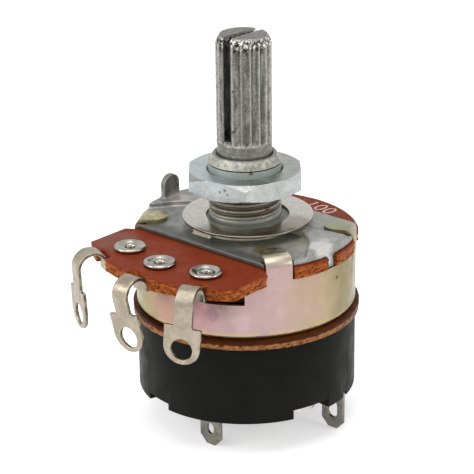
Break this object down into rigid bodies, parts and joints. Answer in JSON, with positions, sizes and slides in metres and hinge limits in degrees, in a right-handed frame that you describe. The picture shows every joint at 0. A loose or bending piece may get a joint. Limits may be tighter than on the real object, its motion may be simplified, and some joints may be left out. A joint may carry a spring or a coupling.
{
  "type": "rotary potentiometer",
  "caption": "Panel rotary potentiometer with a split knurled shaft, threaded bush, ring terminals and a rear on/off switch.",
  "frame": {"origin": "on the shaft's axis, at the boss face that meets the panel", "axes": "+Z along the shaft away from the body, -Y toward the terminals, -X toward the locating lug"},
  "size_m": [0.0248, 0.0321, 0.0438],
  "materials": {
    "die_cast": "cast, mottled",
    "washer_steel": "satin, speckled",
    "zinc_nut": "bright zinc",
    "shaft_metal": "cast, pitted",
    "spring_steel": "plain",
    "rotor_resin": "moulded",
    "bronze": "sprung strip",
    "phenolic": "glossy face, fibrous edge",
    "carbon": "printed",
    "silver_ink": "printed",
    "tinned_brass": "tinned",
    "rivet_metal": "bright plated",
    "passivated_steel": "yellow and pink passivation",
    "disc_resin": "sheet with a rough edge",
    "black_resin": "moulded, satin",
    "lug_metal": "dull tinned",
    "lever_resin": "moulded"
  },
  "bodies": {
    "housing": {"bushing_plate": "die_cast", "flat_washer": "washer_steel", "element_board": "phenolic", "carbon_track": "carbon", "collector_track": "silver_ink", "terminal_left": "tinned_brass", "terminal_centre": "tinned_brass", "terminal_right": "tinned_brass", "terminal_rivets": "rivet_metal", "cover": "passivated_steel", "switch_disc": "disc_resin", "switch_housing": "black_resin", "housing_rivets": "rivet_metal", "switch_lug_front": "lug_metal", "switch_lug_side": "lug_metal", "contact_rivets": "rivet_metal", "lever_pivot": "spring_steel", "snap_spring": "spring_steel"},
    "spindle": {"shaft": "shaft_metal", "shaft_clip": "spring_steel", "rotor_clip": "spring_steel", "rotor": "rotor_resin", "wiper": "bronze", "switch_driver": "spring_steel"},
    "lever": {"switch_lever": "lever_resin", "moving_contact": "bronze"},
    "nut": {"hex_nut": "zinc_nut"}
  },
  "joints": [
    {"name": "shaft_turn", "type": "hinge", "parent": "housing", "child": "spindle", "pos_m": [0, 0, 0], "axis": [0, 0, 1], "range_deg": [-150, 150]},
    {"name": "switch_toggle", "type": "hinge", "parent": "housing", "child": "lever", "pos_m": [0.00624, -0.00318, 0], "axis": [0, 0, 1], "range_deg": [-24, 0]},
    {"name": "nut_travel", "type": "slide", "parent": "housing", "child": "nut", "axis": [0, 0, 1], "range_m": [-0.00325, 0.0017]}
  ]
}
